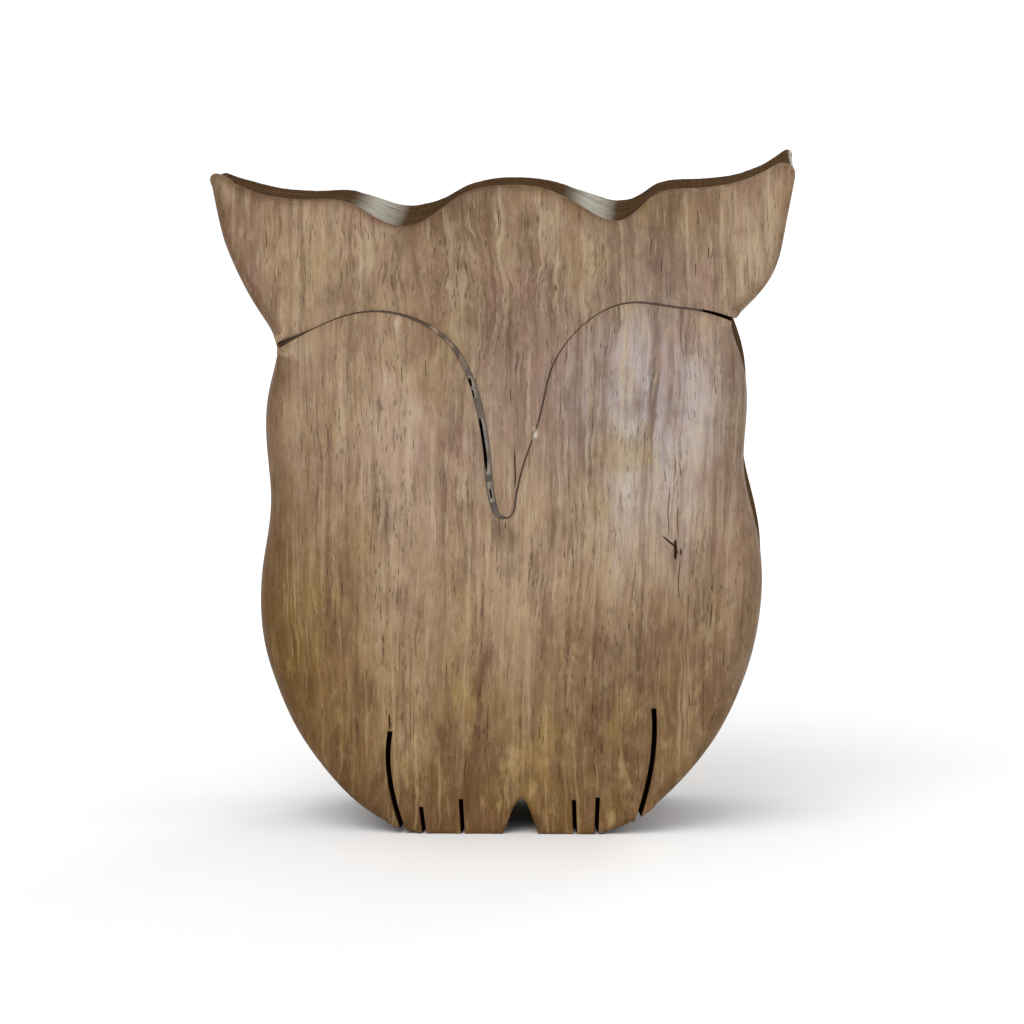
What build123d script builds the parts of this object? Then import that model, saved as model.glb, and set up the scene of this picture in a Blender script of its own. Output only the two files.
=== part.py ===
"""Carved wooden owl: a thick slab sawn to an owl's outline, in two glued pieces.

The head, with its brows and beak, was sawn free of the body along one curved
kerf, then glued back a little to one side.  The kerf closed along the right
and stayed open beside the beak, where grey filler stops it.  Through-cut slits
mark the legs and toes.

Frame: +Z up, face towards -Y, origin on the ground under the middle of the
overall box.  Outline points are (x, z) in millimetres.
"""

from build123d import *
import os

# Driving dimensions
THICKNESS = 62.0            # slab, front to back
BODY_ROUND = 6.0            # rounding of the body's front and back edges
EAR_ROUND = 4.0             # rounding of the ears' outer edges
CROWN_ROUND = 1.5           # easing of the sawn top edge
KERF = 1.4                  # width of a saw cut
TOE_KERF = 1.2              # width of the short toe cuts
HEAD_SHIFT = (0.8, -0.95)   # how far the head was glued from where it was sawn
NECK_GAPE = 0.35            # extra opening of the seam at its dry right end
GLUE_RECESS = 0.2           # glue and filler lie this far below the wood
FILLER_START_X = -21.5      # thin glue to its left, wide filler to its right
FILLER_END_X = 0.9          # under the beak's tip
GLUE_END_X = 58.0           # the seam is dry and open beyond this
FAR = 130.0                 # half size of the cutting regions, outside the slab
FAR_BELOW = -40.0           # far level of the region below the seam
FAR_ABOVE = 240.0           # and of the region above it
CUT_LEVEL = 170.0           # top of the body's prism, above the seam
HEAD_LEVEL = 80.0           # bottom of the head's prism, below the beak
HEAD_HALF = 60.0            # half width of that bottom
SEAM_POINTS = 24            # points that carry the body's side of each half of the seam
SLIT_SPANS = 8              # spans that carry the sides of a curved slit

# Body outline, left neck to feet and feet to right neck
BODY_LEFT = [
    (-67.5, 149.5), (-65.5, 143.0), (-66.6, 137.0), (-68.6, 128.5), (-69.3, 119.0),
    (-68.6, 108.5), (-67.9, 99.0), (-68.6, 89.5), (-70.4, 78.5), (-71.1, 67.0),
    (-69.9, 54.5), (-66.5, 43.0), (-60.8, 30.5), (-53.2, 19.6), (-45.0, 10.7),
    (-36.0, 4.2), (-28.0, 0.9), (-20.0, 0.0),
]
BODY_RIGHT = [
    (24.0, 0.0), (32.0, 1.1), (39.8, 4.6), (47.3, 10.5), (56.4, 20.0), (63.2, 29.3),
    (68.7, 40.1), (72.7, 51.5), (75.2, 64.0), (75.9, 74.5), (74.9, 86.5), (72.2, 98.0),
    (70.4, 107.5), (70.7, 118.5), (71.2, 127.5), (70.5, 136.0), (68.5, 143.2),
    (66.7, 148.5), (66.7, 153.0),
]

# Head outline, left neck up round the ears and brow to the right neck
HEAD_LEFT = [
    (-65.5, 141.5), (-66.3, 146.0), (-70.7, 153.5), (-75.2, 161.3), (-79.2, 170.0),
    (-82.6, 179.2), (-86.1, 187.6),
]
LEFT_EAR_TIP = (-85.5, 189.7)
HEAD_TOP = [
    (-83.5, 190.3), (-75.2, 187.9), (-66.8, 186.0), (-54.2, 185.3), (-45.0, 185.1),
    (-38.0, 182.0), (-28.8, 179.0), (-21.0, 181.4), (-12.5, 186.7), (1.0, 189.6),
    (14.8, 188.1), (25.2, 183.4), (32.5, 180.8), (37.0, 181.9), (43.5, 187.2),
    (54.0, 189.1), (65.0, 190.0), (74.5, 192.6), (85.3, 198.0),
]
HEAD_RIGHT = [
    (85.3, 198.0), (84.0, 190.0), (82.1, 179.5), (79.8, 168.5), (76.0, 161.2),
    (70.6, 155.3), (67.0, 151.6),
]

# Seam, as the head's lower edge: brow arch, beak side, tip, beak side, brow arch
SEAM_LEFT = [
    (-76.0, 139.5), (-65.4, 144.1), (-54.0, 149.6), (-45.5, 153.1), (-37.0, 154.5),
    (-29.0, 153.6), (-21.5, 150.7), (-15.2, 146.2), (-9.8, 138.6), (-6.5, 130.0),
    (-4.4, 120.5), (-3.1, 111.0), (-2.5, 103.0), (-1.0, 96.0),
]
BEAK_TIP = (0.9, 93.8)
SEAM_RIGHT = [
    (3.3, 95.8), (4.2, 102.0), (6.4, 110.5), (9.6, 119.5), (11.9, 128.5), (13.9, 137.0),
    (19.6, 146.6), (28.4, 154.2), (37.5, 157.3), (50.0, 156.1), (60.0, 154.8),
    (66.9, 152.8), (76.0, 149.5),
]

# Slits, from their blind upper end to beyond the body's lower edge
LEFT_LEG_SLIT = [(-32.8, 30.4), (-33.2, 18.0), (-31.5, 8.9), (-28.0, -2.0)]
RIGHT_LEG_SLIT = [(44.4, 37.7), (44.2, 23.5), (42.2, 12.6), (38.0, -0.5)]
TOE_SLITS = [
    [(-23.8, 7.9), (-22.6, -2.0)],
    [(-12.1, 10.3), (-11.4, -2.0)],
    [(21.1, 10.2), (21.5, -2.0)],
    [(28.1, 11.0), (27.6, -2.0)],
]
FOOT_GAP = [(-1.8, -2.0), (2.6, 5.8), (5.6, 10.9), (8.7, 5.3), (12.0, -2.0)]


def face_of(curves):
    """A face on the XZ plane inside a closed chain of curves in (x, z)."""
    return Plane.XZ * make_face(Curve() + curves)


def slab(face, thickness):
    """A prism of the face, centred on the y = 0 plane."""
    return extrude(face, amount=thickness / 2, both=True)


def rounded(prism, radius, spans):
    """The prism with some of its front and back edges rounded.

    spans tells from an edge's bounding box whether it is one of them.
    """
    faces = prism.faces().sort_by(Axis.Y)
    edges = faces[0].edges() + faces[-1].edges()
    return fillet([edge for edge in edges if spans(edge.bounding_box())], radius)


def across_kerf(curve, at):
    """Where the body's side of the seam lies, across from a point of the head's."""
    point = curve @ at
    along = curve % at
    gape = NECK_GAPE * max(0.0, (point.X - GLUE_END_X) / (BODY_RIGHT[-1][0] - GLUE_END_X))
    x = point.X + KERF * along.Y - HEAD_SHIFT[0]
    z = point.Y - KERF * along.X - HEAD_SHIFT[1] - gape
    return (x, z)


def body_side_of(curve):
    """The body's side of a stretch of seam."""
    return Spline([across_kerf(curve, n / (SEAM_POINTS - 1)) for n in range(SEAM_POINTS)])


def seam_curves():
    """The head's and the body's edges along the seam, each from left to right."""
    left = Spline(SEAM_LEFT)
    tip = ThreePointArc(SEAM_LEFT[-1], BEAK_TIP, SEAM_RIGHT[0])
    right = Spline(SEAM_RIGHT)
    body_left = body_side_of(left)
    body_right = body_side_of(right)
    body_tip = ThreePointArc(body_left @ 1, across_kerf(tip, 0.5), body_right @ 0)
    return [left, tip, right], [body_left, body_tip, body_right]


def beside_seam(seam, z_far):
    """The region between a seam edge and a level far above or below it."""
    start = seam[0] @ 0
    end = seam[-1] @ 1
    edge = Polyline(
        (start.X, start.Y), (-FAR, start.Y), (-FAR, z_far), (FAR, z_far), (FAR, end.Y), (end.X, end.Y)
    )
    return slab(face_of(seam + [edge]), 2 * THICKNESS)


def saw_slit(points, width):
    """A through-cut of even width that follows the points."""
    curved = len(points) > 2
    line = Spline(points) if curved else Line(points)
    spans = SLIT_SPANS if curved else 1
    left = []
    right = []
    for n in range(spans + 1):
        at = n / spans
        point = line @ at
        across = (line % at).rotate(Axis.Z, 90) * (width / 2)
        left.append(point + across)
        right.append(point - across)
    sides = [Spline(left), Spline(right)] if curved else [Line(left), Line(right)]
    ends = [Line(left[0], right[0]), Line(left[-1], right[-1])]
    return slab(face_of(sides + ends), 2 * THICKNESS)


def foot_gap():
    """The tunnel between the two feet."""
    arch = Spline(FOOT_GAP)
    return slab(face_of([arch, Line(FOOT_GAP[-1], FOOT_GAP[0])]), 2 * THICKNESS)


def body_slab():
    """The body's rounded prism, before the seam and the slits."""
    left = Spline(BODY_LEFT)
    right = Spline(BODY_RIGHT)
    sole = Line(BODY_LEFT[-1], BODY_RIGHT[0])
    neck_left = BODY_LEFT[0]
    neck_right = BODY_RIGHT[-1]
    crown = Polyline(neck_right, (neck_right[0], CUT_LEVEL), (neck_left[0], CUT_LEVEL), neck_left)
    prism = slab(face_of([left, sole, right, crown]), THICKNESS)
    return rounded(prism, BODY_ROUND, lambda box: box.max.Z < neck_right[1] + 1)


def head_slab():
    """The head's rounded prism, before the seam."""
    left = Spline(HEAD_LEFT)
    left_tip = ThreePointArc(HEAD_LEFT[-1], LEFT_EAR_TIP, HEAD_TOP[0])
    top = Spline(HEAD_TOP)
    right = Spline(HEAD_RIGHT)
    below = Polyline(
        HEAD_RIGHT[-1], (HEAD_HALF, HEAD_LEVEL), (-HEAD_HALF, HEAD_LEVEL), HEAD_LEFT[0]
    )
    prism = slab(face_of([left, left_tip, top, right, below]), THICKNESS)
    neck = HEAD_LEFT[0][1]
    dip = min(z for _, z in HEAD_TOP)

    def side_edge(box):
        return box.min.Z > neck - 1 and box.size.Z > 2 * EAR_ROUND and box.min.X * box.max.X > 0

    def top_edge(box):
        return box.min.Z > dip - 1 and box.min.X < 0 < box.max.X

    return rounded(rounded(prism, EAR_ROUND, side_edge), CROWN_ROUND, top_edge)


def seam_fill(head_edge, body_edge, envelope):
    """What lies in the kerf between the two pieces, flush with their outside."""
    left_end = Line(head_edge[0] @ 0, body_edge[0] @ 0)
    right_end = Line(head_edge[-1] @ 1, body_edge[-1] @ 1)
    kerf = face_of(head_edge + body_edge + [left_end, right_end])
    return slab(kerf, THICKNESS - 2 * GLUE_RECESS) & envelope


def between(shape, x_low, x_high):
    """The stretch of a shape between two values of x."""
    width = x_high - x_low
    window = Box(width, 2 * THICKNESS, 2 * FAR, align=(Align.MIN, Align.CENTER, Align.MIN))
    return shape & (Pos(x_low, 0, 0) * window)


def main():
    head_edge, body_edge = seam_curves()
    head_whole = head_slab()
    body_whole = body_slab()
    body = body_whole & beside_seam(body_edge, FAR_BELOW)
    body -= saw_slit(LEFT_LEG_SLIT, KERF)
    body -= saw_slit(RIGHT_LEG_SLIT, KERF)
    for points in TOE_SLITS:
        body -= saw_slit(points, TOE_KERF)
    body -= foot_gap()
    fill = seam_fill(head_edge, body_edge, body_whole)
    pieces = {
        "body_block": body,
        "head_block": head_whole & beside_seam(head_edge, FAR_ABOVE),
        "brow_glue_left": between(fill, -FAR, FILLER_START_X),
        "beak_gap_filler": between(fill, FILLER_START_X, FILLER_END_X),
        "brow_glue_right": between(fill, FILLER_END_X, GLUE_END_X),
    }
    os.makedirs("parts", exist_ok=True)
    for name, piece in pieces.items():
        export_step(piece, f"parts/{name}.step")


main()
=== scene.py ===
import math
import random

import bmesh
import bpy
import numpy as np
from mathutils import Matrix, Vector, noise
from mathutils.geometry import delaunay_2d_cdt


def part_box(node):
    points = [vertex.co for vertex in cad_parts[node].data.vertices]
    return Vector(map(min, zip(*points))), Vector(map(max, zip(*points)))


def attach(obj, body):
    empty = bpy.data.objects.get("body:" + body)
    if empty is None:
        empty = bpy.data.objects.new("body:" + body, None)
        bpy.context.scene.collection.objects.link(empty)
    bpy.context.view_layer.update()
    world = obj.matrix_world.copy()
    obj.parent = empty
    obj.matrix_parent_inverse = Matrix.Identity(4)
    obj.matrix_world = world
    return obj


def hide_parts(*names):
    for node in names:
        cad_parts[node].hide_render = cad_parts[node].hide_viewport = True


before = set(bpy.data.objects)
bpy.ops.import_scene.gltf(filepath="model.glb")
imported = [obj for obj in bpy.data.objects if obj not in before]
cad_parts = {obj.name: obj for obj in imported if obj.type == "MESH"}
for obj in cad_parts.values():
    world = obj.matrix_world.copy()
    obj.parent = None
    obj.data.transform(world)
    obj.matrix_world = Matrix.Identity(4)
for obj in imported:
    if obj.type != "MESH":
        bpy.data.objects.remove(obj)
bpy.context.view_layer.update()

# A slab owl: the body and the head were sawn from one plank, sanded, and glued together again.
# Outlines come from the CAD nodes, sliced half-way through the slab. Lengths are in millimetres
# until a mesh is made. An outline lies in the x, z plane and runs anticlockwise seen from the front.

MM = 0.001

# Mesh density.
STEP = 0.6            # between points along an outline
TOO_NEAR = 0.06       # a CAD point this near the one before it is dropped
GRID = 1.7            # between points inside a face
WALL_COLUMNS = 12     # from the front edge to the back edge
CORNER = math.radians(28)    # an outline that turns more than this has a corner there
SMOOTHINGS = 6        # passes over each curve between two corners
CHUNK = 1200          # points compared at a time, to spare memory
SHARP = math.radians(40)     # shading breaks at edges that turn more than this

# Where an outline has company.
SEAM_REACH = 2.7      # an edge this near the other part belongs to the glued seam
SLIT_REACH = 2.2      # an edge this near its own opposite wall belongs to a saw slit
SLIT_END = 1.3        # and so do the edges this near to such a wall: the slit's blind end
OPPOSITE = -0.6       # two walls face each other if their directions' product is below this
TOP_FACING = 0.45     # an edge of the head that faces up by more than this is part of the sawn top
SOLE = 0.4            # below this height the body's outline is the face it stands on
ARCH_MIDDLE = 5       # x of the gap between the feet
ARCH_HALF_WIDTH = 7
ARCH_TOP = 12

# Rounding of the front and back edges. A table's rows are (position, value): the body's follow z,
# the crown's follow x.
SEAM_LIP = 0.3
SLIT_LIP = 0.35
GLUE_LIP = 0.12
SOLE_LIP = 0.7
ARCH_LIP = 0.8
NECK_FLARE = 3.2      # the seam opens into a soft groove at the left of the neck
FLARE_START = -54.0
FLARE_END = -65.0
BODY_ROUND_AT = ((0, 1.2), (4, 2.2), (16, 4.5), (42, 8.5), (134, 8.5), (150, 4.0))
EAR_SIDE_ROUND = 4.5  # down the left ear; RIGHT_SIDE_ROUND_AT is the right one's
CROWN_ROUND_AT = (
    (-84, 2.0), (-62, 1.8), (-46, 1.5), (-37, 0.7), (-28, 0.5), (-19, 0.9), (-8, 1.8),
    (10, 1.9), (22, 1.3), (32, 0.5), (41, 1.1), (52, 1.9), (84, 1.4),
)

# The sawn top at x: how far it falls towards the back on the ears and on the dome of the brow. It
# stays level in the dips.
CROWN_FALL_AT = (
    (-86, 1.5), (-80, 2.4), (-50, 2.4), (-43, 1.7), (-36, 0.5), (-30, 0.0), (-25, 0.0), (-18, 1.2),
    (-9, 2.5), (11, 2.6), (20, 1.6), (28, 0.2), (34, 0.0), (38, 0.6), (46, 2.1), (66, 2.4),
    (76, 1.2), (83, 0.0),
)
# How far its front edge rises above the outline, at x.
FRONT_RISE_AT = (
    (-86, 4.0), (-82, 3.8), (-77, 2.6), (-70, 1.6), (-50, 1.3), (-43, 0.8), (-36, 0.2), (-30, 0.0),
    (-25, 0.0), (-18, 0.6), (-9, 1.4), (11, 1.4), (20, 0.7), (28, 0.0), (34, 0.0), (40, 0.6),
    (46, 1.0), (60, 1.2), (72, 1.7), (80, 2.8), (83, 1.4), (85, 0.0),
)
LEFT_TIP_X = -78.0    # the left ear's tip lies beyond this x
LEFT_TIP_Z = 174.0    # and takes part in the rise from here, fully from LEFT_TIP_SPAN higher
LEFT_TIP_SPAN = 12.0
TIP_NOSE = 0.3        # the share of its rise by which the tip also leans to the right
RIGHT_SIDE_ROUND_AT = ((150, 4.5), (176, 4.0), (190, 1.2), (196, 0.6))
CROWN_PEAK = 0.68     # the rise ends and the fall starts at this share of the slab's depth
LEAN_REACH = 6.0      # the back face follows its lowered edge over this distance
GLOSS_FALL = 1.9      # the top has gloss, and a painted glare on slopes facing right, where it falls by less than this

# Hand finish.
SLOW_SWELL = 0.28     # long waves that sanding left in the faces
QUICK_SWELL = 0.035
SAW_RIPPLE = 0.10     # marks that the blade left on the sawn walls
SAW_DRIFT = 0.22
BLADE_WANDER = 2.0    # how far a slit bows sideways inside the slab
WANDER_REACH = 2.5    # the wood beside a slit follows it over this distance

# Cracks in the front of the body, the head and the filler, each as (half width, depth, points).
KNOT = (
    (0.32, 0.9, ((46.5, 89.0), (48.9, 86.9), (50.1, 86.0), (51.5, 83.4))),
    (0.45, 1.2, ((50.4, 87.9), (50.6, 84.8), (50.5, 81.5))),
    (0.25, 0.6, ((52.1, 85.2), (52.2, 83.0))),
)
CHECKS = (
    (0.15, 0.3, ((48.9, 103.5), (48.3, 96.0), (48.6, 88.6))),
    (0.14, 0.2, ((51.3, 98.6), (51.0, 93.0), (51.4, 88.6))),
    (0.15, 0.3, ((51.9, 81.7), (51.4, 75.0), (51.7, 70.0))),
    (0.16, 0.3, ((61.1, 74.6), (61.3, 72.4))),
    (0.18, 0.3, ((61.3, 70.0), (61.0, 64.5), (60.6, 61.0))),
    (0.30, 0.5, ((-33.1, 36.0), (-33.0, 33.0), (-32.8, 30.8))),
    (0.15, 0.3, ((1.0, 92.8), (1.1, 90.6))),
)
HEAD_CHECK = (0.22, 0.5, ((3.7, 114.8), (3.8, 109.2), (3.9, 105.8), (3.6, 102.4)))
FILLER_GAPS = (
    (0.38, 4.0, ((-9.6, 135.0), (-9.1, 133.4), (-8.9, 132.2))),
    (0.30, 4.0, ((-8.6, 131.4), (-8.1, 129.0))),
    (0.55, 6.0, ((-6.5, 123.5), (-6.0, 119.5), (-5.0, 113.1), (-4.4, 107.0))),
    (0.32, 4.0, ((-3.6, 102.6), (-2.9, 99.2))),
)

# Pores, and how pores and cracks look.
PORES_ON_BODY = 80    # on each face
PORES_ON_HEAD = 34
PORE_MARGIN = 8       # pores start this far inside the outline's box
PORE_EDGE = 4         # and no end of one is nearer than this to the outline
FAINT_DEPTH = 0.45    # pores and cracks shallower than this are drawn fainter
FAINT_MARK = 0.55     # by this factor
LIP_CLEARANCE = 0.12  # crack points nearer than this to the outline are left out
CUT_RIM = 0.25        # the share of edge staining and painted edge shade beside a cut

# Camera, lights and floor. Positions and sizes are in metres, the lens and the sensor in millimetres.
CAMERA_AT = (0.05497, -1.74914, 0.356)
CAMERA_AIM = (0.0020, 0, 0.0910)
CAMERA_LENS = 210
CAMERA_SENSOR = 36
WORLD_STRENGTH = 0.85
SKY_FROM = (-0.5, -1.0, 1.3)
SKY_STRENGTH = 1.1
SKY_SPREAD = math.radians(45)
WINDOW_AT = (0.9, 1.7, 0.75)
WINDOW_AIM = (0, 0, 0.17)
WINDOW_SIZE = 0.7
WINDOW_POWER = 7
WINDOW_COLOUR = (1.0, 0.98, 0.95)
FLOOR_HALF = 9.0


# ---------------------------------------------------------------- outlines

def sliced(node):
    """The closed outline of a CAD node half-way through the slab, as rows of x, z."""
    mesh = bmesh.new()
    mesh.from_mesh(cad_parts[node].data)
    bmesh.ops.remove_doubles(mesh, verts=mesh.verts, dist=1e-6)
    everything = mesh.verts[:] + mesh.edges[:] + mesh.faces[:]
    cut = bmesh.ops.bisect_plane(
        mesh, geom=everything, plane_co=(0, 0, 0), plane_no=(0, 1, 0), clear_inner=True
    )
    beside = {}
    for edge in cut["geom_cut"]:
        if isinstance(edge, bmesh.types.BMEdge):
            a, b = edge.verts
            beside.setdefault(a, []).append(b)
            beside.setdefault(b, []).append(a)
    first = min(beside, key=lambda v: (round(v.co.z, 5), v.co.x))
    loop = [first]
    previous = None
    while True:
        onward = [v for v in beside[loop[-1]] if v is not previous][0]
        if onward is first:
            break
        previous = loop[-1]
        loop.append(onward)
    points = np.array([(v.co.x, v.co.z) for v in loop]) / MM
    mesh.free()
    after = np.roll(points, -1, 0)
    area = np.sum(points[:, 0] * after[:, 1] - after[:, 0] * points[:, 1])
    return points if area > 0 else points[::-1]


def evened(points):
    """The same closed outline with points STEP apart, its corners kept and its curves smoothed."""
    gaps = np.linalg.norm(points - np.roll(points, 1, 0), axis=1)
    points = points[gaps > TOO_NEAR]
    ahead = np.roll(points, -1, 0) - points
    behind = points - np.roll(points, 1, 0)
    cross = behind[:, 0] * ahead[:, 1] - behind[:, 1] * ahead[:, 0]
    turn = np.abs(np.arctan2(cross, np.sum(ahead * behind, axis=1)))
    corners = list(np.flatnonzero(turn > CORNER)) or [0]
    kept = []
    for here, there in zip(corners, corners[1:] + [corners[0] + len(points)]):
        stretch = points[np.arange(here, there + 1) % len(points)]
        run = np.linalg.norm(np.diff(stretch, axis=0), axis=1)
        at = np.concatenate([[0], np.cumsum(run)])
        spots = np.linspace(0, at[-1], max(1, round(at[-1] / STEP)) + 1)
        curve = np.column_stack([np.interp(spots, at, stretch[:, k]) for k in (0, 1)])
        for _ in range(SMOOTHINGS):
            curve[1:-1] = 0.25 * curve[:-2] + 0.5 * curve[1:-1] + 0.25 * curve[2:]
        kept.append(curve[:-1])
    return np.concatenate(kept)


def outward(loop):
    """The outward direction at each point of an outline."""
    along = np.roll(loop, -1, 0) - np.roll(loop, 1, 0)
    normal = np.column_stack([along[:, 1], -along[:, 0]])
    return normal / np.linalg.norm(normal, axis=1)[:, None]


def inside(points, loop):
    """Whether each point is inside the outline."""
    after = np.roll(loop, -1, 0)
    result = np.zeros(len(points), bool)
    for k in range(0, len(points), CHUNK):
        x = points[k:k + CHUNK, 0:1]
        z = points[k:k + CHUNK, 1:2]
        spans = (loop[None, :, 1] > z) != (after[None, :, 1] > z)
        rise = np.where(after[:, 1] == loop[:, 1], 1, after[:, 1] - loop[:, 1])
        crossing = loop[:, 0] + (z - loop[:, 1]) * (after[:, 0] - loop[:, 0]) / rise
        result[k:k + CHUNK] = np.sum(spans & (x < crossing), axis=1) % 2 == 1
    return result


def nearest(points, loop, radii=None):
    """For each point: its gap from the outline, the nearest outline point, and how far the rounded
    edges drop the face there."""
    gap = np.zeros(len(points))
    which = np.zeros(len(points), int)
    drop = np.zeros(len(points))
    for k in range(0, len(points), CHUNK):
        part = points[k:k + CHUNK]
        apart = np.linalg.norm(part[:, None, :] - loop[None, :, :], axis=2)
        which[k:k + CHUNK] = apart.argmin(axis=1)
        gap[k:k + CHUNK] = apart.min(axis=1)
        if radii is not None:
            short = np.clip(radii - apart, 0, None)
            drop[k:k + CHUNK] = (radii - np.sqrt(radii**2 - short**2)).max(axis=1)
    return gap, which, drop


def along_loop(values, spread):
    """Values of a closed outline, averaged with their neighbours up to a distance of spread."""
    for _ in range(max(1, round(2 * (spread / STEP) ** 2))):
        values = 0.25 * np.roll(values, 1) + 0.5 * values + 0.25 * np.roll(values, -1)
    return values


def interpolated(at, table):
    """The table's value at each position. Its rows are (position, value)."""
    return np.interp(at, [row[0] for row in table], [row[1] for row in table])


# ---------------------------------------------------------------- cracks and pores

def from_line(points, line):
    """The distance of each point from a crack's line, and how far along the line it is, 0 to 1."""
    best = np.full(len(points), 1e9)
    along = np.zeros(len(points))
    spans = len(line) - 1
    for k, (a, b) in enumerate(zip(line[:-1], line[1:])):
        a = np.array(a)
        span = np.array(b) - a
        t = np.clip(((points - a) @ span) / (span @ span), 0, 1)
        away = np.linalg.norm(points - (a + t[:, None] * span), axis=1)
        along = np.where(away < best, (k + t) / spans, along)
        best = np.minimum(best, away)
    return best, along


def tapered(along):
    """A crack's share of its full width and depth: the last fifth at each end closes to a point."""
    return np.clip(np.minimum(along, 1 - along) * 5, 0, 1) ** 0.7


def around_line(crack):
    """Mesh points on a crack's line, on its two lips and just outside them."""
    half, _, line = crack
    rows = []
    spans = len(line) - 1
    for n, (a, b) in enumerate(zip(line[:-1], line[1:])):
        a = np.array(a, float)
        span = np.array(b) - a
        length = np.linalg.norm(span)
        side = np.array((-span[1], span[0])) / length
        count = max(3, round(length / 0.45))
        for t in np.linspace(0, 1, count, endpoint=False):
            wide = half * float(tapered((n + t) / spans))
            offsets = (-wide - 0.25, -wide, 0, wide, wide + 0.25) if wide > 0.03 else (0,)
            rows += [a + t * span + k * side for k in offsets]
    rows.append(np.array(line[-1], float))
    return rows


def pores(loop, count, seed):
    """Open pores: short grooves along the grain, in loose groups."""
    draw = random.Random(seed)
    low = loop.min(0)
    high = loop.max(0)
    found = []
    while len(found) < count:
        x = draw.uniform(low[0] + PORE_MARGIN, high[0] - PORE_MARGIN)
        z = draw.uniform(low[1] + PORE_MARGIN, high[1] - PORE_MARGIN)
        length = draw.uniform(1.5, 6.0)
        lean = draw.gauss(0, 0.06)
        half = draw.uniform(0.08, 0.15)
        crowd = noise.noise((x / 11, 3.1, z / 45))
        if draw.random() > 0.35 + 1.4 * crowd:
            continue
        ends = np.array([(x, z), (x + lean * length, z + length)])
        if not inside(ends, loop).all() or nearest(ends, loop)[0].min() < PORE_EDGE:
            continue
        found.append((half, half * 1.1, tuple(map(tuple, ends))))
    return found


# ---------------------------------------------------------------- the carved slab

def swell(x, z, side):
    """The gentle waves of a hand-sanded face, always inwards."""
    slow = noise.noise((x / 41, side, z / 62))
    quick = noise.noise((x / 8, side + 7, z / 17))
    return SLOW_SWELL * (1 + slow) + QUICK_SWELL * (1 + quick)


def edge_points(loop, normals, radii):
    """Rows of points inside an outline, where its rounded edge turns."""
    rows = []
    for k, radius in enumerate(radii):
        if radius > 3:
            turns = (16, 30, 43, 55, 67, 79, 92)
        elif radius > 1:
            turns = (22, 45, 68, 92)
        else:
            turns = (45, 95)
        for turn in turns:
            inset = radius * (1 - math.cos(math.radians(turn)))
            rows.append((*(loop[k] - normals[k] * inset), inset))
    rows = np.array(rows)
    gap = nearest(rows[:, :2], loop)[0]
    return rows[(gap > 0.93 * rows[:, 2]) & inside(rows[:, :2], loop)][:, :2]


def grid_points(loop, radii):
    """A staggered grid inside an outline, clear of its rounded edge."""
    low = loop.min(0)
    high = loop.max(0)
    rows = []
    for k, z in enumerate(np.arange(low[1], high[1], GRID * 0.87)):
        for x in np.arange(low[0] + (k % 2) * GRID / 2, high[0], GRID):
            rows.append((x, z))
    rows = np.array(rows)
    rows = rows[inside(rows, loop)]
    gap, which, _ = nearest(rows, loop)
    return rows[gap > np.maximum(0.9, 0.5 * radii[which])]


def filled(loop, free):
    """Triangles that fill the outline, with the free points inside it, as (points, triangles)."""
    spots = [Vector(p) for p in np.concatenate([loop, free])]
    count = len(loop)
    border = [(k, (k + 1) % count) for k in range(count)]
    points, _, triangles, origin, _, _ = delaunay_2d_cdt(spots, border, [], 1, 1e-5)
    order = {}
    for k, sources in enumerate(origin):
        for source in sources:
            if source < count:
                order[source] = k
    rank = {order[k]: k for k in range(count)}
    used = sorted({v for face in triangles for v in face})
    for v in used:
        rank.setdefault(v, len(rank))
    flat = np.zeros((len(rank), 2))
    for v, place in rank.items():
        flat[place] = points[v]
    return flat, [[rank[v] for v in face] for face in triangles]


def face_depths(flat, drop, side, cracks):
    """How far a face lies inside the slab at each of its points, and how dark its cracks are."""
    waves = np.array([swell(x, z, side) for x, z in flat])
    cut = np.zeros(len(flat))
    mark = np.zeros(len(flat))
    for half, depth, line in cracks:
        away, along = from_line(flat, line)
        share = tapered(along)
        near = np.clip(1 - away / (half * share + 1e-6), 0, 1)
        cut = np.maximum(cut, depth * share * near**0.7)
        mark = np.maximum(mark, share * near * (FAINT_MARK if depth < FAINT_DEPTH else 1))
    return drop + waves + cut, mark


def saw_marks(run, y):
    """How deep the blade's marks are on a sawn wall: run is the distance along it, y its depth."""
    ripple = SAW_RIPPLE * (1 + noise.noise((run / 1.5, y / 50, 2.0)))
    drift = SAW_DRIFT * (1 + noise.noise((run / 9, y / 30, 9.0)))
    return ripple + drift


def meshed(name, rows, faces, shade):
    """An object with these points, in millimetres, and these values for its material to read."""
    mesh = bpy.data.meshes.new(name)
    mesh.from_pydata([(x * MM, y * MM, z * MM) for x, y, z in rows], [], faces)
    for label, values in shade.items():
        layer = mesh.attributes.new(label, "FLOAT", "POINT")
        layer.data.foreach_set("value", np.array(values, np.float32))
    mesh.polygons.foreach_set("use_smooth", [True] * len(mesh.polygons))
    mesh.set_sharp_from_angle(angle=SHARP)
    piece = bpy.data.objects.new(name, mesh)
    bpy.context.scene.collection.objects.link(piece)
    return piece


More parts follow.
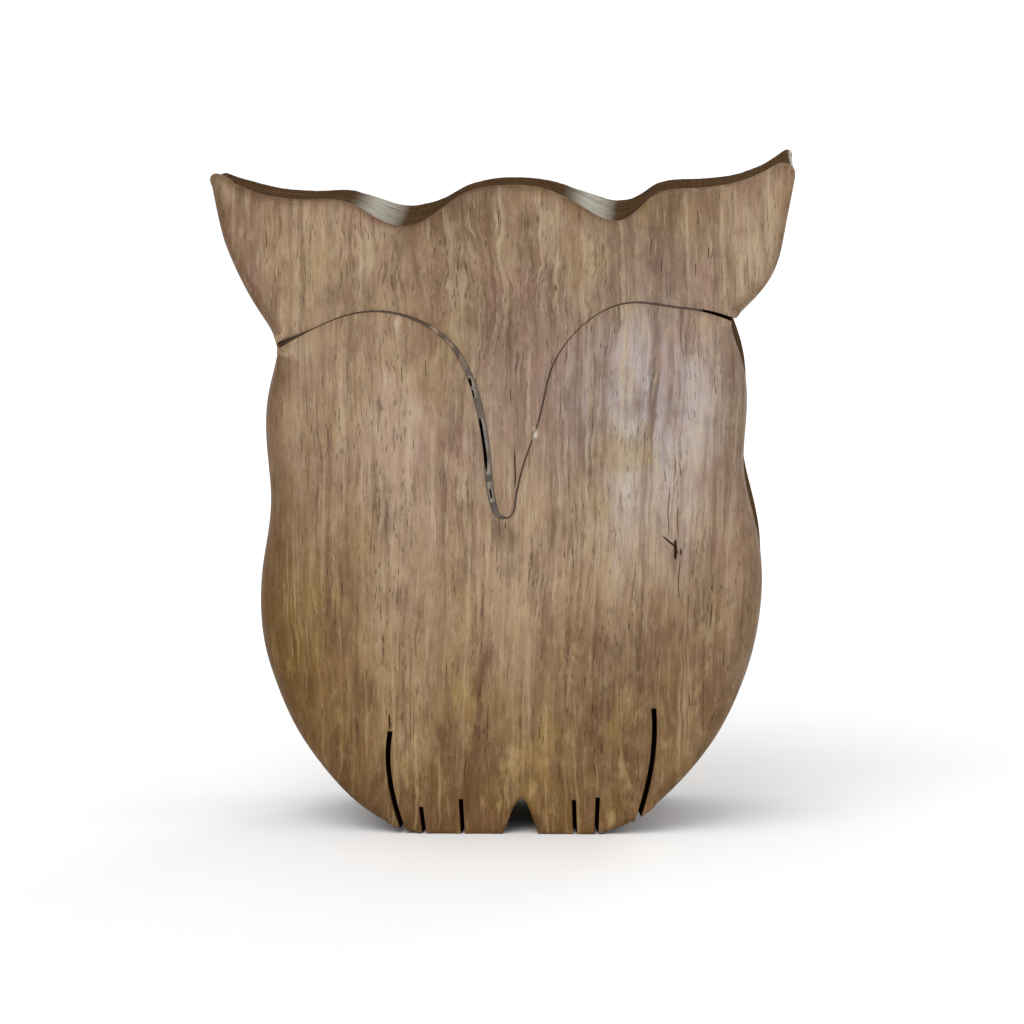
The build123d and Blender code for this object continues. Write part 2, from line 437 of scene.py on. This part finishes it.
def slab_piece(
    name, node, outline, radii, free_wall, shaded_cut,
    shifts=None, glossy=0.0, front_cracks=(), back_cracks=(), bow=None,
):
    """A solid between two carved faces. For each outline point, free_wall says how much the wall
    shows the saw, shaded_cut how much painted shade darkens it inside a cut, glossy how much gloss it
    has and so where a painted glare lies, and bow how far it swerves in x half-way through the slab.
    shifts holds two such lists, of how far the front and the back edge lie from the outline."""
    low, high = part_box(node)
    front = low.y / MM
    back = high.y / MM
    normals = outward(outline)
    front_shift, back_shift = np.zeros((2, len(outline), 2)) if shifts is None else shifts
    bow = np.zeros(len(outline)) if bow is None else bow

    # The front face's points come first, its outline before the rest, then the back face's.
    loop = outline + front_shift
    extra = [p for crack in (*front_cracks, *back_cracks) for p in around_line(crack)]
    free = [edge_points(loop, normals, radii), grid_points(loop, radii)]
    if extra:
        extra = np.array(extra)
        free.append(extra[inside(extra, loop) & (nearest(extra, loop)[0] > LIP_CLEARANCE)])
    flat, triangles = filled(loop, np.concatenate(free))
    gap, which, drop = nearest(flat, loop, radii)
    count = len(flat)
    ring = len(loop)
    fall_front, mark_front = face_depths(flat, drop, 0.0, front_cracks)
    fall_back, mark_back = face_depths(flat, drop, 5.0, back_cracks)
    near_edge = np.exp(-((gap / LEAN_REACH) ** 2))[:, None]
    behind = flat + (back_shift - front_shift)[which] * near_edge
    rows = [(x, front + f, z) for (x, z), f in zip(flat, fall_front)]
    rows += [(x, back - f, z) for (x, z), f in zip(behind, fall_back)]

    # What the material reads: edge staining with painted edge shade, dark of a crack, bare sawn wood,
    # painted shade inside a cut, distance along the outline, and gloss with a painted glare.
    run = np.concatenate([[0], np.cumsum(np.linalg.norm(np.diff(loop, axis=0), axis=1))])
    edge_stain_and_shade = np.where(shaded_cut, CUT_RIM, 1.0)[which] * np.exp(-((gap / (0.75 * radii[which] + 0.5)) ** 2))
    # Slopes facing right, towards the window light, get gloss and a painted glare.
    gloss_and_glare = np.clip(normals[:, 0] * 2.2, 0, 1) * glossy
    on_loop = np.arange(count) < ring
    shade = {
        "edge_stain_and_shade": list(edge_stain_and_shade) * 2,
        "mark": list(mark_front) + list(mark_back),
        "sawn": list(on_loop * 0.4) * 2,
        "cut_shade": list(np.where(on_loop, 0.2 * shaded_cut[which], 0)) * 2,
        "run": list(np.where(on_loop, run[which], 0)) * 2,
        "gloss_and_glare": [0.0] * (2 * count),
    }

    # Columns of wall points between the two edges, closer together near the faces.
    columns = [list(range(ring))]
    for column in range(1, WALL_COLUMNS):
        t = (1 - math.cos(math.pi * column / WALL_COLUMNS)) / 2
        taper = math.sin(math.pi * t) ** 0.5
        columns.append([len(rows) + k for k in range(ring)])
        shift = front_shift * max(0, 1 - t / CROWN_PEAK) ** 2
        shift = shift + back_shift * max(0, (t - CROWN_PEAK) / (1 - CROWN_PEAK)) ** 2
        for k in range(ring):
            y = (front + fall_front[k]) * (1 - t) + (back - fall_back[k]) * t
            above_sole = min(1, outline[k, 1] / 3)
            inward = taper * free_wall[k] * saw_marks(run[k], y) * above_sole
            x, z = outline[k] + shift[k] - normals[k] * inward
            rows.append((x + bow[k] * math.sin(math.pi * t), y, z))
        shade["edge_stain_and_shade"] += [0.6] * ring
        shade["mark"] += [0.0] * ring
        shade["sawn"] += [1.0] * ring
        shade["cut_shade"] += list(shaded_cut)
        shade["run"] += list(run)
        shade["gloss_and_glare"] += list(gloss_and_glare)
    columns.append([count + k for k in range(ring)])

    faces = [tuple(face) for face in triangles]
    faces += [tuple(v + count for v in reversed(face)) for face in triangles]
    for left, right in zip(columns[:-1], columns[1:]):
        for k in range(ring):
            after = (k + 1) % ring
            faces.append((left[k], right[k], right[after], left[after]))
    piece = meshed(name, rows, faces, shade)
    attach(piece, "root")
    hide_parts(node)
    return piece


# ---------------------------------------------------------------- the pieces

def slit_walls(loop):
    """Which outline points lie on a wall or the blind end of a saw slit, and how far each point
    of the outline follows the blade's wander."""
    normals = outward(loop)
    apart = np.linalg.norm(loop[:, None, :] - loop[None, :, :], axis=2)
    facing = normals @ normals.T
    walls = ((apart < SLIT_REACH) & (facing < OPPOSITE)).any(axis=1)
    from_wall = apart[:, walls].min(axis=1)
    inwards = -BLADE_WANDER * np.sign(loop[:, 0])
    return from_wall < SLIT_END, inwards * np.exp(-((from_wall / WANDER_REACH) ** 2))


def flared(loop):
    """The rounding of the seam's lips, which open into the soft groove at the left of the neck."""
    reach = np.clip((FLARE_START - loop[:, 0]) / (FLARE_START - FLARE_END), 0, 1)
    return SEAM_LIP + (NECK_FLARE - SEAM_LIP) * reach**1.6


def seam_shade(loop):
    """How much painted shade darkens a seam's wall: almost none in the groove at the left of the neck.
    """
    return 0.75 * np.clip((loop[:, 0] - FLARE_END) / (FLARE_START - FLARE_END), 0.02, 1)


body_loop = evened(sliced("body_block"))
head_loop = evened(sliced("head_block"))


def body_piece():
    """The body, legs and feet."""
    seam = nearest(body_loop, head_loop)[0] < SEAM_REACH
    slit, bow = slit_walls(body_loop)
    x, z = body_loop.T
    arch = (np.abs(x - ARCH_MIDDLE) < ARCH_HALF_WIDTH) & (z > SOLE) & (z < ARCH_TOP)
    radii = interpolated(z, BODY_ROUND_AT)
    radii = np.where(z < SOLE, SOLE_LIP, radii)
    radii = np.where(arch, ARCH_LIP, radii)
    radii = along_loop(radii, 1.5)
    radii = np.where(slit, SLIT_LIP, radii)
    radii = np.where(seam, flared(body_loop), radii)
    shaded_cut = np.where(seam, seam_shade(body_loop), slit.astype(float))
    return slab_piece(
        "carved_body", "body_block", body_loop, radii,
        free_wall=(~(seam | slit)).astype(float), shaded_cut=shaded_cut, bow=bow,
        front_cracks=(*KNOT, *CHECKS, *pores(body_loop, PORES_ON_BODY, 11)),
        back_cracks=pores(body_loop, PORES_ON_BODY, 12),
    )


def head_piece():
    """The ears, brows and beak."""
    seam = nearest(head_loop, body_loop)[0] < SEAM_REACH
    x, z = head_loop.T
    normals = outward(head_loop)
    top = (normals[:, 1] > TOP_FACING) & ~seam
    side_round = np.where(x > 0, interpolated(z, RIGHT_SIDE_ROUND_AT), EAR_SIDE_ROUND)
    radii = along_loop(np.where(top, interpolated(x, CROWN_ROUND_AT), side_round), 2.0)
    radii = np.where(seam, flared(head_loop), radii)
    on_top = along_loop(top.astype(float), 3.0)
    fall = interpolated(x, CROWN_FALL_AT) * np.where(seam, 0, on_top)
    tip = (x < LEFT_TIP_X) * np.clip((z - LEFT_TIP_Z) / LEFT_TIP_SPAN, 0, 1)
    rise = interpolated(x, FRONT_RISE_AT) * np.where(seam, 0, np.maximum(on_top, tip))
    front_shift = np.stack([TIP_NOSE * tip * rise, rise], axis=1)
    return slab_piece(
        "carved_head", "head_block", head_loop, radii,
        free_wall=(~seam).astype(float), shaded_cut=np.where(seam, seam_shade(head_loop), 0.0),
        shifts=(front_shift, -normals * fall[:, None]), glossy=top * np.clip(GLOSS_FALL - fall, 0, 1),
        front_cracks=(HEAD_CHECK, *pores(head_loop, PORES_ON_HEAD, 21)),
        back_cracks=pores(head_loop, PORES_ON_HEAD, 22),
    )


def seam_piece(name, node, cracks=()):
    """The filler, or one of the two stretches of glue."""
    loop = evened(sliced(node))
    ones = np.ones(len(loop))
    return slab_piece(
        name, node, loop, ones * GLUE_LIP, free_wall=ones * 0, shaded_cut=ones, front_cracks=cracks
    )


# ---------------------------------------------------------------- materials

class Recipe:
    """One material, made node by node."""

    def __init__(self, name):
        self.material = bpy.data.materials.new(name)
        self.material.use_nodes = True
        self.tree = self.material.node_tree
        self.tree.nodes.clear()
        self.shader = self.add("ShaderNodeBsdfPrincipled")
        output = self.add("ShaderNodeOutputMaterial")
        self.tree.links.new(self.shader.outputs[0], output.inputs["Surface"])
        place = self.add("ShaderNodeTexCoord").outputs["Object"]
        self.place = self.vector("SCALE", place, scale=1 / MM)

    def add(self, kind, inputs=(), **settings):
        node = self.tree.nodes.new(kind)
        for key, value in settings.items():
            setattr(node, key, value)
        for key, value in dict(inputs).items():
            self.feed(node.inputs[key], value)
        return node

    def feed(self, socket, value):
        if isinstance(value, bpy.types.NodeSocket):
            self.tree.links.new(value, socket)
        else:
            socket.default_value = value

    def vector(self, operation, a, b=(0, 0, 0), scale=1.0):
        """A vector sum or the like. Input 3 is the factor that SCALE takes."""
        node = self.add("ShaderNodeVectorMath", {0: a, 1: b, 3: scale}, operation=operation)
        return node.outputs["Value" if operation == "LENGTH" else "Vector"]

    def math(self, operation, a, b=0.0, c=0.0):
        return self.add("ShaderNodeMath", {0: a, 1: b, 2: c}, operation=operation).outputs[0]

    def stretched(self, place, x, y, z):
        return self.vector("MULTIPLY", place, (x, y, z))

    def noise(self, place, detail=2.0, rough=0.5):
        inputs = {"Vector": place, "Scale": 1.0, "Detail": detail, "Roughness": rough}
        return self.add("ShaderNodeTexNoise", inputs).outputs["Fac"]

    def ramp(self, value, low, high, start=0.0, end=1.0):
        inputs = {"Value": value, "From Min": low, "From Max": high, "To Min": start, "To Max": end}
        node = self.add("ShaderNodeMapRange", inputs, interpolation_type="SMOOTHSTEP")
        return node.outputs["Result"]

    def mix(self, factor, a, b, how="MIX"):
        node = self.add("ShaderNodeMix", data_type="RGBA", blend_type=how)
        for key, value in ((0, factor), (6, a), (7, b)):
            self.feed(node.inputs[key], value)
        return node.outputs[2]

    def attribute(self, name):
        return self.add("ShaderNodeAttribute", attribute_name=name).outputs["Fac"]

    def spot(self, centre, size):
        """A soft patch: 1 at its centre, 0 at its edge. Centre and size are x, z."""
        offset = self.vector("SUBTRACT", self.place, (centre[0], 0, centre[1]))
        shrunk = self.stretched(offset, 1 / size[0], 0, 1 / size[1])
        return self.ramp(self.vector("LENGTH", shrunk), 1.0, 0.0)

    def bump(self, height, distance):
        node = self.add("ShaderNodeBump", {"Height": height, "Distance": distance * MM, "Strength": 1.0})
        self.feed(self.shader.inputs["Normal"], node.outputs[0])


def rgb(red, green, blue):
    """A colour given as 0 to 255 on screen, as the linear values that shaders take."""
    linear = [((c / 255 + 0.055) / 1.055) ** 2.4 for c in (red, green, blue)]
    return (*linear, 1.0)


# Soft patches of colour on the plank: centre, size, colour, strength.
TINTS = (
    # The first patch darkens the lower body: partly the wood's ochre, partly painted shade.
    ((0, -10), (150, 90), rgb(100, 71, 35), 1.0),
    ((-78, 45), (40, 78), rgb(84, 56, 18), 0.95),
    ((-36, 0), (26, 24), rgb(70, 50, 32), 0.7),
    ((44, 42), (40, 40), rgb(98, 72, 48), 0.8),
    ((56, 66), (32, 28), rgb(118, 92, 66), 0.6),
    ((80, 80), (24, 70), rgb(124, 94, 64), 0.45),
    ((-14, 184), (36, 28), rgb(104, 78, 54), 0.85),
    ((40, 184), (34, 26), rgb(106, 83, 64), 0.8),
    ((8, 158), (50, 32), rgb(126, 99, 78), 0.8),
    ((46, 162), (32, 24), rgb(130, 108, 98), 0.7),
    ((8, 132), (30, 44), rgb(130, 106, 95), 0.85),
    ((-26, 116), (32, 36), rgb(172, 146, 128), 0.75),
    # These two pale patches at the upper right are partly pale wood, partly a painted sheen of the
    # varnish.
    ((44, 120), (38, 56), rgb(174, 162, 156), 1.0),
    ((44, 134), (34, 28), rgb(176, 168, 172), 0.6),
    ((2, 78), (28, 24), rgb(172, 149, 124), 0.35),
    ((74, 168), (24, 26), rgb(168, 145, 122), 0.6),
    ((-82, 176), (26, 34), rgb(120, 90, 60), 0.7),
    ((51, 83), (4, 9), rgb(88, 66, 50), 0.7),
    ((-1.5, 90.5), (3, 6), rgb(96, 84, 74), 0.8),
    ((-66, 84), (5, 8), rgb(84, 60, 36), 0.6),
    ((-6.5, 116), (4.5, 24), rgb(126, 112, 100), 0.55),
)

# Patches that darken whatever lies under them, mostly low on the body: partly the wood's own ochre
# staining, partly painted shade. Columns: centre, size, share of the light left, strength.
LOW_SHADE_AND_STAINS = (
    ((0, -10), (150, 105), (0.90, 0.79, 0.52), 1.0),
    ((-80, 45), (62, 78), (0.78, 0.68, 0.22), 1.0),
    ((40, 45), (36, 50), (0.85, 0.80, 0.72), 0.6),
)

# Marks of the grain, laid over it in this order: pattern, where it starts and where it is full on
# the pattern's scale, strength, colour.
BROAD_MARKS = (
    ("warmth", 0.53, 0.72, 0.45, rgb(148, 114, 102)),
    ("warmth", 0.47, 0.28, 0.60, rgb(158, 134, 90)),
    ("clouds", 0.50, 0.30, 0.45, rgb(96, 68, 48)),
    ("clouds", 0.54, 0.72, 0.35, rgb(186, 166, 140)),
)
FINE_MARKS = (
    ("streaks", 0.49, 0.30, 0.50, rgb(92, 66, 46)),
    ("streaks", 0.54, 0.70, 0.44, rgb(192, 170, 142)),
    ("mottle", 0.50, 0.25, 0.22, rgb(92, 68, 50)),
    ("mottle", 0.52, 0.75, 0.22, rgb(190, 170, 144)),
    ("fibres", 0.50, 0.25, 0.32, rgb(86, 62, 42)),
    ("fibres", 0.54, 0.78, 0.28, rgb(190, 168, 142)),
)

# Special places on the plank: centre, size.
BROW_FIGURE = ((-4, 166), (70, 40))      # the grain curls here
SHEEN_AND_STREAKS_PATCH = ((42, 122), (42, 62))     # pale and dark columns stand out here: partly the wood's streaks, partly a painted sheen
LOW_PART = ((0, -10), (150, 110))        # more blotches and fewer pale dashes here

# A pale chip beside the seam, on the wood and on the glue: centre, size.
CHIP_ON_WOOD = ((9.6, 118.7), (1.3, 2.5))
CHIP_ON_GLUE = ((9.2, 118.5), (1.6, 3.0))


def grain_patterns(r, shift):
    """The patterns of the grain by name, all in a range of 0 to 1. shift moves them in x and z."""
    place = r.vector("ADD", r.place, (shift[0], 0, shift[1]))

    # The grain wavers slowly everywhere, and curls in the middle of the brow.
    slow = r.noise(r.stretched(place, 0.020, 0.020, 0.009), 1)
    curl = r.noise(r.stretched(place, 0.11, 0.05, 0.075), 3, 0.6)
    figure = r.math("MULTIPLY", r.spot(*BROW_FIGURE), 5.0)
    sway = r.math("MULTIPLY_ADD", r.math("SUBTRACT", curl, 0.5), r.math("ADD", figure, 2.4), 0.0)
    sway = r.math("MULTIPLY_ADD", r.math("SUBTRACT", slow, 0.5), 10.0, sway)
    sideways = r.add("ShaderNodeCombineXYZ", {"X": sway}).outputs[0]
    grain = r.vector("ADD", place, sideways)
    other = r.vector("ADD", grain, (37, 0, 11))
    elsewhere = r.vector("ADD", place, (90, 0, 40))
    patterns = {
        "bands": r.noise(r.stretched(grain, 0.075, 0.10, 0.007), 2, 0.55),
        "streaks": r.noise(r.stretched(grain, 0.42, 0.42, 0.015), 3, 0.65),
        "fibres": r.noise(r.stretched(grain, 2.1, 2.1, 0.17), 3, 0.65),
        "clouds": r.noise(r.stretched(place, 0.05, 0.05, 0.030), 4, 0.65),
        "warmth": r.noise(r.stretched(elsewhere, 0.055, 0.05, 0.035), 3, 0.6),
        "columns": r.noise(r.stretched(grain, 0.24, 0.24, 0.008), 3, 0.6),
        "mottle": r.noise(r.stretched(place, 0.30, 0.30, 0.16), 3, 0.7),
        "blotch": r.noise(r.stretched(grain, 0.12, 0.12, 0.05), 4, 0.7),
    }

    # Short dashes, dark and pale, crowded along some tracks of the grain, and pits.
    crowd = r.ramp(r.noise(r.stretched(grain, 0.14, 0.14, 0.024), 2), 0.40, 0.62, 0.25, 1.0)
    sheen = r.ramp(r.noise(r.stretched(other, 0.12, 0.12, 0.022), 2), 0.40, 0.62, 0.2, 1.0)
    dark_dash = r.ramp(r.noise(r.stretched(grain, 1.25, 1.25, 0.075), 3, 0.6), 0.56, 0.70)
    pale_dash = r.ramp(r.noise(r.stretched(other, 1.0, 1.0, 0.06), 3, 0.6), 0.56, 0.72)
    fine = r.add(
        "ShaderNodeTexVoronoi", {"Vector": r.stretched(grain, 1.15, 1.15, 0.17), "Scale": 1.0}
    ).outputs["Distance"]
    pits = r.math("MULTIPLY", r.math("MULTIPLY", r.ramp(fine, 0.22, 0.10), crowd), 0.6)
    patterns["dark_dash"] = r.math("MULTIPLY", dark_dash, crowd)
    patterns["pale_dash"] = r.math("MULTIPLY", pale_dash, sheen)
    patterns["pits"] = r.math("MAXIMUM", pits, r.attribute("mark"))
    return patterns


def with_marks(r, colour, grain, marks):
    """The colour with each of these marks laid over it in turn."""
    for label, start, full, strength, tint in marks:
        colour = r.mix(r.ramp(grain[label], start, full, 0.0, strength), colour, tint)
    return colour


def plank_colour(r, grain):
    """The plank's own colour: a tan base with broad bands and tints, then the marks of its grain."""
    colour = r.mix(r.ramp(grain["bands"], 0.32, 0.68), rgb(144, 116, 88), rgb(166, 140, 112))
    cloudy = r.ramp(grain["clouds"], 0.25, 0.6, 0.65, 1.0)
    for centre, size, tint, strength in TINTS:
        patch = r.math("MULTIPLY", r.spot(centre, size), strength)
        colour = r.mix(r.math("MULTIPLY", patch, cloudy), colour, tint)

    # At the upper right, pale columns are partly the wood's streaks, partly a painted sheen of the
    # varnish.
    sheen_and_streaks = r.spot(*SHEEN_AND_STREAKS_PATCH)
    pale_share = r.math("MULTIPLY_ADD", sheen_and_streaks, 0.65, 0.08)
    dark_share = r.math("MULTIPLY_ADD", sheen_and_streaks, 0.40, 0.35)
    tall_pale = r.math("MULTIPLY", r.ramp(grain["columns"], 0.52, 0.66), pale_share)
    tall_dark = r.math("MULTIPLY", r.ramp(grain["columns"], 0.48, 0.34), dark_share)
    colour = r.mix(tall_pale, colour, rgb(206, 196, 184))
    colour = r.mix(tall_dark, colour, rgb(104, 82, 66))
    colour = with_marks(r, colour, grain, BROAD_MARKS)

    low = r.spot(*LOW_PART)
    busy = r.math("MULTIPLY_ADD", low, 0.6, 0.55)
    dark_blotch = r.math("MULTIPLY", r.ramp(grain["blotch"], 0.49, 0.32, 0.0, 0.62), busy)
    gold_blotch = r.math("MULTIPLY", r.ramp(grain["blotch"], 0.53, 0.68, 0.0, 0.45), busy)
    colour = r.mix(dark_blotch, colour, rgb(86, 58, 38))
    colour = r.mix(gold_blotch, colour, rgb(192, 170, 132))
    colour = with_marks(r, colour, grain, FINE_MARKS)

    dash_share = r.math("MULTIPLY_ADD", low, -0.30, 0.42)
    colour = r.mix(r.math("MULTIPLY", grain["dark_dash"], 0.56), colour, rgb(80, 52, 36))
    colour = r.mix(r.math("MULTIPLY", grain["pale_dash"], dash_share), colour, rgb(204, 186, 162))
    # Painted shade, with the wood's own staining, darkens the lower body.
    for centre, size, darkening, strength in LOW_SHADE_AND_STAINS:
        amount = r.math("MULTIPLY", r.spot(centre, size), strength)
        colour = r.mix(amount, colour, (*darkening, 1.0), "MULTIPLY")
    return colour


def wood(name, shift):
    """Sanded and varnished plank wood, cut along the grain. shift moves the grain with its part."""
    r = Recipe(name)
    grain = grain_patterns(r, shift)
    sawn = r.attribute("sawn")
    run = r.attribute("run")
    colour = plank_colour(r, grain)

    # Painted shade darkens the rounded edges, with some staining of their own; less so on the right, the
    # side the window light comes from.
    across = r.add("ShaderNodeSeparateXYZ", {0: r.place}).outputs["X"]
    edge = r.math("MULTIPLY", r.attribute("edge_stain_and_shade"), r.ramp(grain["streaks"], 0.2, 0.8, 0.85, 0.6))
    edge = r.math("MULTIPLY", edge, r.ramp(across, 10, 50, 1.0, 0.6))
    colour = r.mix(edge, colour, rgb(88, 58, 28))

    # Sawn walls are dark and scuffed, with lines left by the blade, and glossy in the dips. Their pale
    # flecks are partly scuffs, partly painted glints; slopes in the dips that face right, towards the
    # window light, get a painted silvery glare.
    along = r.add("ShaderNodeCombineXYZ", {"X": r.math("MULTIPLY", run, 1.3)}).outputs[0]
    saw = r.noise(along, 3, 0.7)
    scuff_and_glints = r.noise(r.stretched(r.place, 0.10, 0.8, 0.10), 4, 0.7)
    rough_cut = r.mix(r.ramp(saw, 0.35, 0.7), rgb(54, 37, 23), rgb(74, 53, 34))
    rough_cut = r.mix(r.ramp(scuff_and_glints, 0.50, 0.72, 0.0, 0.62), rough_cut, rgb(124, 102, 76))
    colour = r.mix(r.math("MULTIPLY", sawn, 0.9), colour, rough_cut)
    polish_and_glare = r.math("MULTIPLY", r.attribute("gloss_and_glare"), sawn)
    polish_and_glare = r.math("MULTIPLY", polish_and_glare, r.ramp(scuff_and_glints, 0.32, 0.58, 0.25, 1.0))
    colour = r.mix(r.math("MULTIPLY", polish_and_glare, 0.85), colour, rgb(176, 170, 152))

    # Cracks and pits, the pale chip, and painted shade inside the cuts.
    colour = r.mix(r.math("MULTIPLY", grain["pits"], 0.85), colour, rgb(62, 42, 28))
    chip = r.math("MULTIPLY", r.spot(*CHIP_ON_WOOD), r.ramp(grain["mottle"], 0.35, 0.5))
    colour = r.mix(chip, colour, rgb(210, 200, 184))
    colour = r.mix(r.attribute("cut_shade"), colour, rgb(50, 24, 15))
    r.feed(r.shader.inputs["Base Color"], colour)

    # All the gloss is in the varnish.
    dull = r.math("MULTIPLY_ADD", sawn, 0.30, r.ramp(grain["clouds"], 0.3, 0.7, 0.40, 0.54))
    r.feed(r.shader.inputs["Roughness"], r.math("MULTIPLY_ADD", grain["pits"], 0.3, dull))
    r.shader.inputs["Specular IOR Level"].default_value = 0.0
    varnish = r.math("MULTIPLY_ADD", sawn, -0.45, r.ramp(grain["mottle"], 0.3, 0.7, 0.30, 0.45))
    varnish = r.math("MAXIMUM", varnish, r.math("MULTIPLY", polish_and_glare, 0.6))
    r.feed(r.shader.inputs["Coat Weight"], varnish)
    r.shader.inputs["Coat Roughness"].default_value = 0.36

    height = r.math("MULTIPLY_ADD", grain["fibres"], 0.25, r.math("MULTIPLY", grain["streaks"], 0.3))
    for label, share in (("mottle", 0.5), ("dark_dash", -0.45), ("pale_dash", 0.25), ("pits", -0.9)):
        height = r.math("MULTIPLY_ADD", grain[label], share, height)
    blade_lines = r.math("MULTIPLY", r.math("MULTIPLY", saw, sawn), 0.9)
    r.bump(r.math("ADD", height, blade_lines), 0.30)
    return r.material


def filler_material(name, dark, light, rough, tinted):
    """Filler or glue: dull and gritty, its pale specks painted as glints. tinted is where it takes the
    wood's colour:
    centre, size and colour."""
    r = Recipe(name)
    soft = r.noise(r.stretched(r.place, 0.5, 0.5, 0.22), 3, 0.6)
    grit_and_glints = r.noise(r.stretched(r.place, 3.2, 3.2, 2.0), 2, 0.6)
    colour = r.mix(r.ramp(soft, 0.35, 0.65), dark, light)
    centre, size, tint = tinted
    colour = r.mix(r.spot(centre, size), colour, tint)
    edge = r.math("MULTIPLY", r.attribute("edge_stain_and_shade"), r.ramp(soft, 0.3, 0.6, 1.0, 3.0))
    colour = r.mix(r.ramp(edge, 0.30, 0.75, 0.0, 0.8), colour, rgb(42, 31, 23))
    # Pale specks: painted glints.
    colour = r.mix(r.ramp(grit_and_glints, 0.66, 0.80, 0.0, 0.8), colour, rgb(200, 190, 174))
    colour = r.mix(r.spot(*CHIP_ON_GLUE), colour, rgb(214, 205, 190))
    # Painted shade: the deep gaps in the filler are painted almost black.
    colour = r.mix(r.attribute("mark"), colour, rgb(6, 5, 5))
    r.feed(r.shader.inputs["Base Color"], colour)
    r.shader.inputs["Roughness"].default_value = rough
    r.bump(r.math("MULTIPLY_ADD", grit_and_glints, 0.5, soft), 0.12)
    return r.material


def floor_material():
    """Pale matt paper."""
    r = Recipe("pale_floor")
    fleck = r.noise(r.stretched(r.place, 0.05, 0.05, 0.05), 2)
    r.feed(r.shader.inputs["Base Color"], r.mix(fleck, (0.93, 0.93, 0.93, 1), (0.95, 0.95, 0.95, 1)))
    r.shader.inputs["Roughness"].default_value = 0.85
    r.shader.inputs["Specular IOR Level"].default_value = 0.1
    return r.material


# ---------------------------------------------------------------- camera, light and floor

def aimed(thing, target):
    thing.rotation_euler = (Vector(target) - thing.location).to_track_quat("-Z", "Y").to_euler()


def add_camera():
    camera = bpy.data.objects.new("camera", bpy.data.cameras.new("camera"))
    camera.data.lens = CAMERA_LENS
    camera.data.sensor_width = CAMERA_SENSOR
    camera.location = CAMERA_AT
    aimed(camera, CAMERA_AIM)
    bpy.context.scene.collection.objects.link(camera)
    bpy.context.scene.camera = camera


def add_floor():
    mesh = bpy.data.meshes.new("floor")
    turns = ((-1, -1), (1, -1), (1, 1), (-1, 1))
    mesh.from_pydata([(x * FLOOR_HALF, y * FLOOR_HALF, 0) for x, y in turns], [], [(0, 1, 2, 3)])
    floor = bpy.data.objects.new("floor", mesh)
    floor.data.materials.append(floor_material())
    bpy.context.scene.collection.objects.link(floor)


def add_world():
    world = bpy.data.worlds.new("studio")
    bpy.context.scene.world = world
    world.use_nodes = True
    background = world.node_tree.nodes["Background"]
    background.inputs["Color"].default_value = (1, 1, 1, 1)
    background.inputs["Strength"].default_value = WORLD_STRENGTH
    bpy.context.scene.view_settings.view_transform = "Standard"


def add_light(name, kind, power, location, target):
    light = bpy.data.objects.new(name, bpy.data.lights.new(name, kind))
    light.data.energy = power
    light.location = location
    aimed(light, target)
    bpy.context.scene.collection.objects.link(light)
    return light.data


# ---------------------------------------------------------------- the object

add_camera()
add_floor()
add_world()
sky = add_light("skylight", "SUN", SKY_STRENGTH, SKY_FROM, (0, 0, 0))
sky.angle = SKY_SPREAD
window = add_light("window", "AREA", WINDOW_POWER, WINDOW_AT, WINDOW_AIM)
window.shape = "DISK"
window.size = WINDOW_SIZE
window.color = WINDOW_COLOUR
carved_body = body_piece()
carved_head = head_piece()
beak_gap = seam_piece("beak_gap_filler_bead", "beak_gap_filler", FILLER_GAPS)
glue_left = seam_piece("glue_line_left", "brow_glue_left")
glue_right = seam_piece("glue_line_right", "brow_glue_right")

carved_body.data.materials.append(wood("body_wood", (0, 0)))
carved_head.data.materials.append(wood("head_wood", (-0.8, 0.95)))
beak_gap.data.materials.append(filler_material(
    "wood_filler", rgb(84, 74, 64), rgb(136, 127, 115), 0.6, ((-19, 149), (20, 24), rgb(140, 114, 91))
))
dried_glue = filler_material(
    "dried_glue", rgb(58, 39, 27), rgb(122, 97, 78), 0.5, ((-67, 144), (15, 14), rgb(112, 82, 56))
)
glue_left.data.materials.append(dried_glue)
glue_right.data.materials.append(dried_glue)
